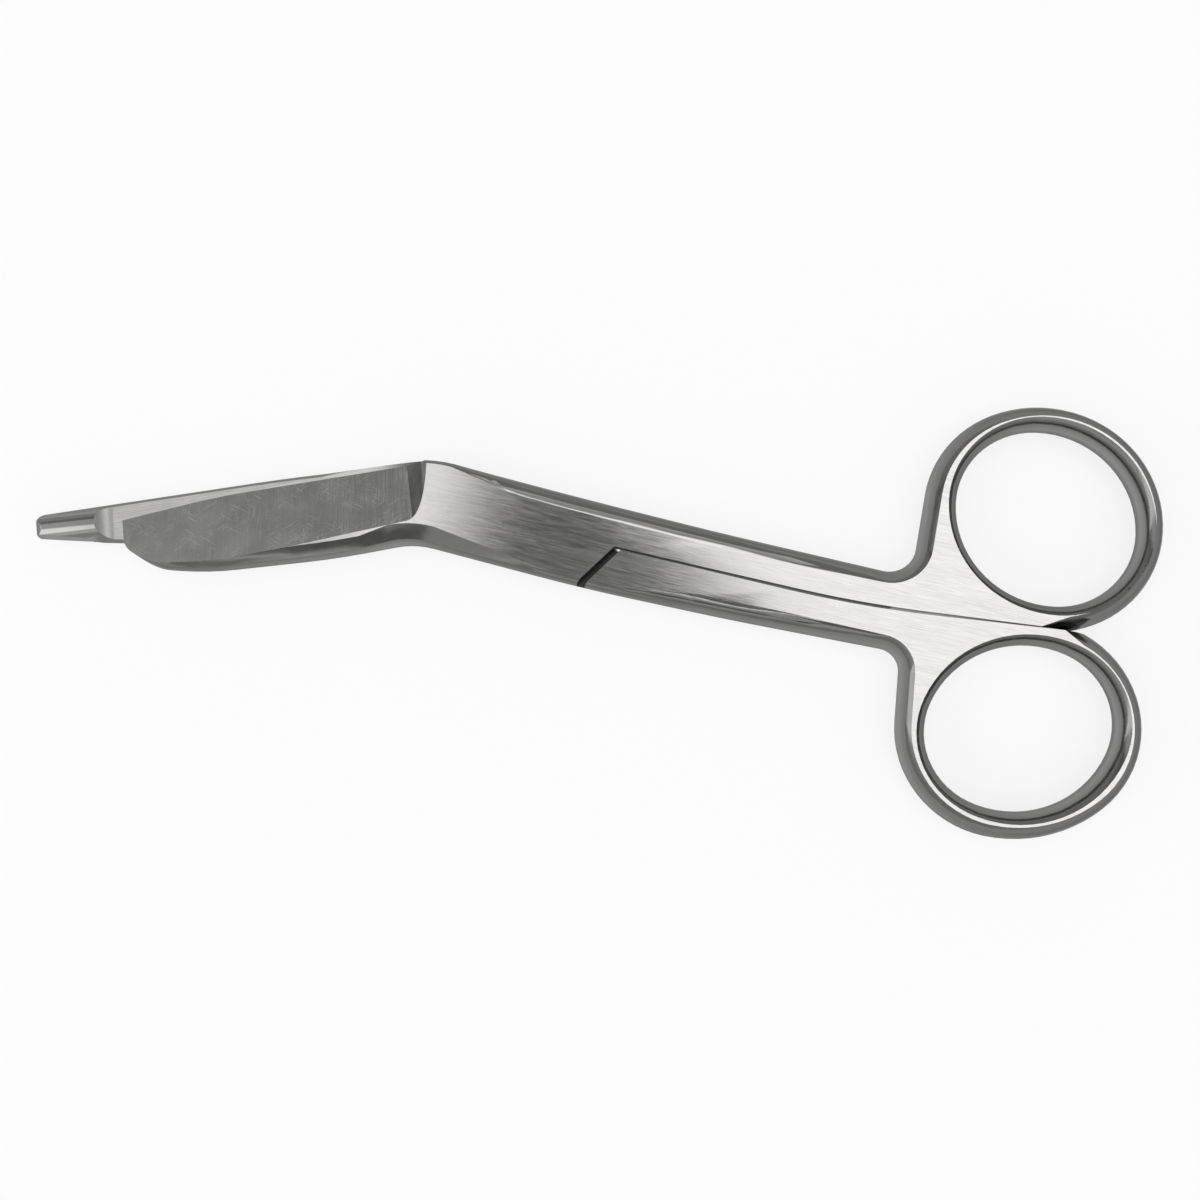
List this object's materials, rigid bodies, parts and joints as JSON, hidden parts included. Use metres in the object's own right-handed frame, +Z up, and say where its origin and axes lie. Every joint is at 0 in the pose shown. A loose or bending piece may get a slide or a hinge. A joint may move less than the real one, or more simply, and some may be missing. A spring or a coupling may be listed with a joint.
{
  "type": "bandage scissors",
  "caption": "Angled bandage scissors with a short blunt blade over a longer blade that ends in a rounded probe tip, lapped halves, a screw joint and oval finger rings.",
  "frame": {"origin": "where the pivot axis meets the plane that the closed scissors lie on", "axes": "+X along the closed handles towards the finger rings, +Y towards the upper ring, +Z up out of the resting plane, along the pivot axis"},
  "size_m": [0.1406, 0.0507, 0.0052],
  "materials": {
    "short_half_steel": "satin flats brushed along the shank, polished bevels and rings, fine scratches on the blade facet",
    "long_half_steel": "satin flats brushed along the shank, polished bevels, ring and probe tip",
    "screw_steel": "turned and lightly polished"
  },
  "bodies": {
    "long_half": {"long_blade_half": "long_half_steel"},
    "short_half": {"short_blade_half": "short_half_steel", "pivot_screw": "screw_steel"}
  },
  "joints": [
    {"name": "pivot", "type": "hinge", "parent": "long_half", "child": "short_half", "pos_m": [0, 0, 0.0026], "axis": [0, 0, 1], "range_deg": [0, 110]}
  ]
}
